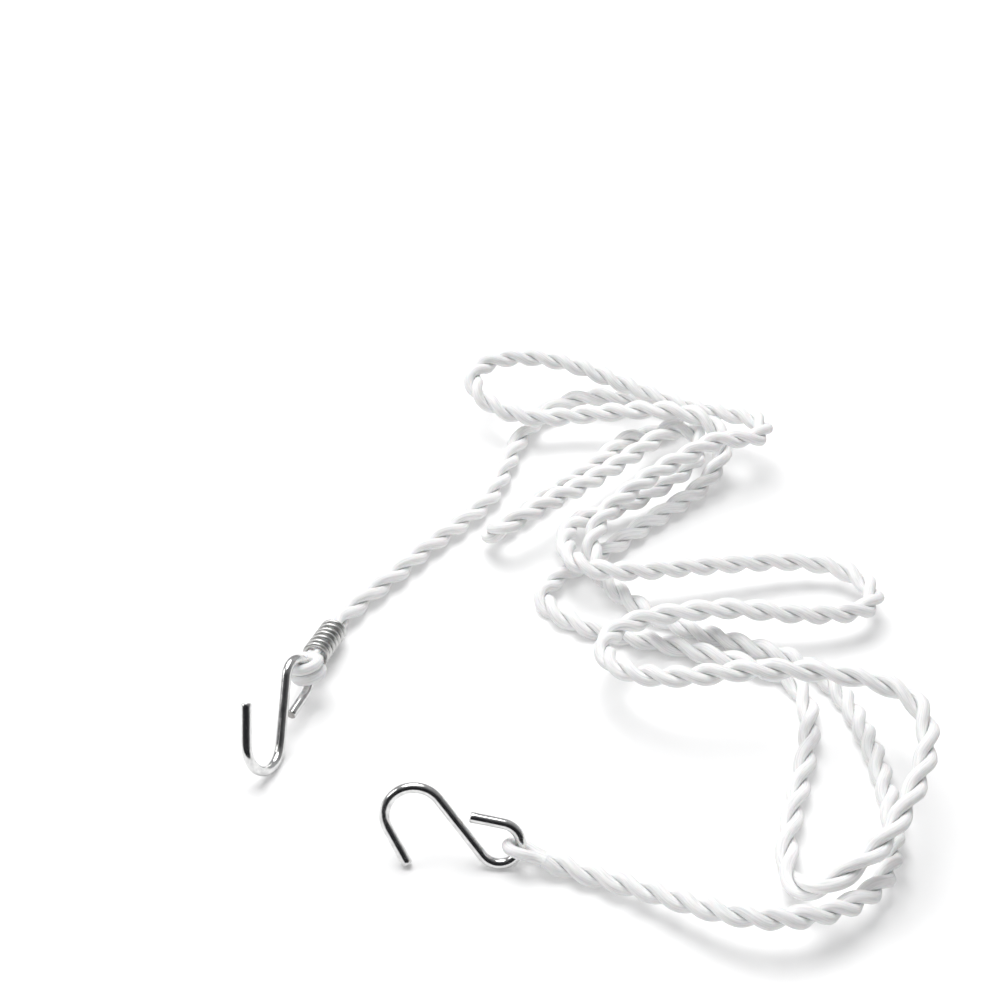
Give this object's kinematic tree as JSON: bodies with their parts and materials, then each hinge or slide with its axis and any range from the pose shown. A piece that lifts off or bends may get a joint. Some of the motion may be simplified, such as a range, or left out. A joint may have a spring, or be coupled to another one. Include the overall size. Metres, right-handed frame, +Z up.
{
  "type": "clothesline",
  "caption": "Elastic clothesline of covered cord folded and twisted on itself, with a wire S-hook at each end and a coiled wire ferrule, lying in a loose tangle.",
  "frame": {"origin": "on the surface, under the middle of the box round the two hooks and the ferrule", "axes": "+Z up from the surface, +Y from the hooks towards the far end of the tangle, +X towards the tangle's right side"},
  "size_m": [0.1508, 0.1892, 0.0219],
  "materials": {
    "hook_steel": "bright zinc plating",
    "ferrule_steel": "drawn wire",
    "cover": "woven, matte white",
    "core_rubber": "matte"
  },
  "bodies": {
    "line": {"line": "cover", "ferrule_coil": "ferrule_steel", "left_loop_upper_cover": "cover", "left_loop_upper_core": "core_rubber", "left_loop_lower_cover": "cover", "left_loop_lower_core": "core_rubber", "right_fold_cover": "cover", "right_fold_core": "core_rubber"},
    "hook_left": {"hook_left": "hook_steel"},
    "hook_right": {"hook_right": "hook_steel"}
  },
  "joints": [
    {"name": "hook_left_swing", "type": "hinge", "parent": "line", "child": "hook_left", "pos_m": [-0.01848, 0.0168, 0.0083], "axis": [0.262, -0.2719, -0.926], "range_deg": [-101, 59]},
    {"name": "hook_right_swing", "type": "hinge", "parent": "line", "child": "hook_right", "pos_m": [0.02969, -0.03279, 0.00413], "axis": [0.2647, 0.4433, 0.8564], "range_deg": [-80, 80]}
  ]
}
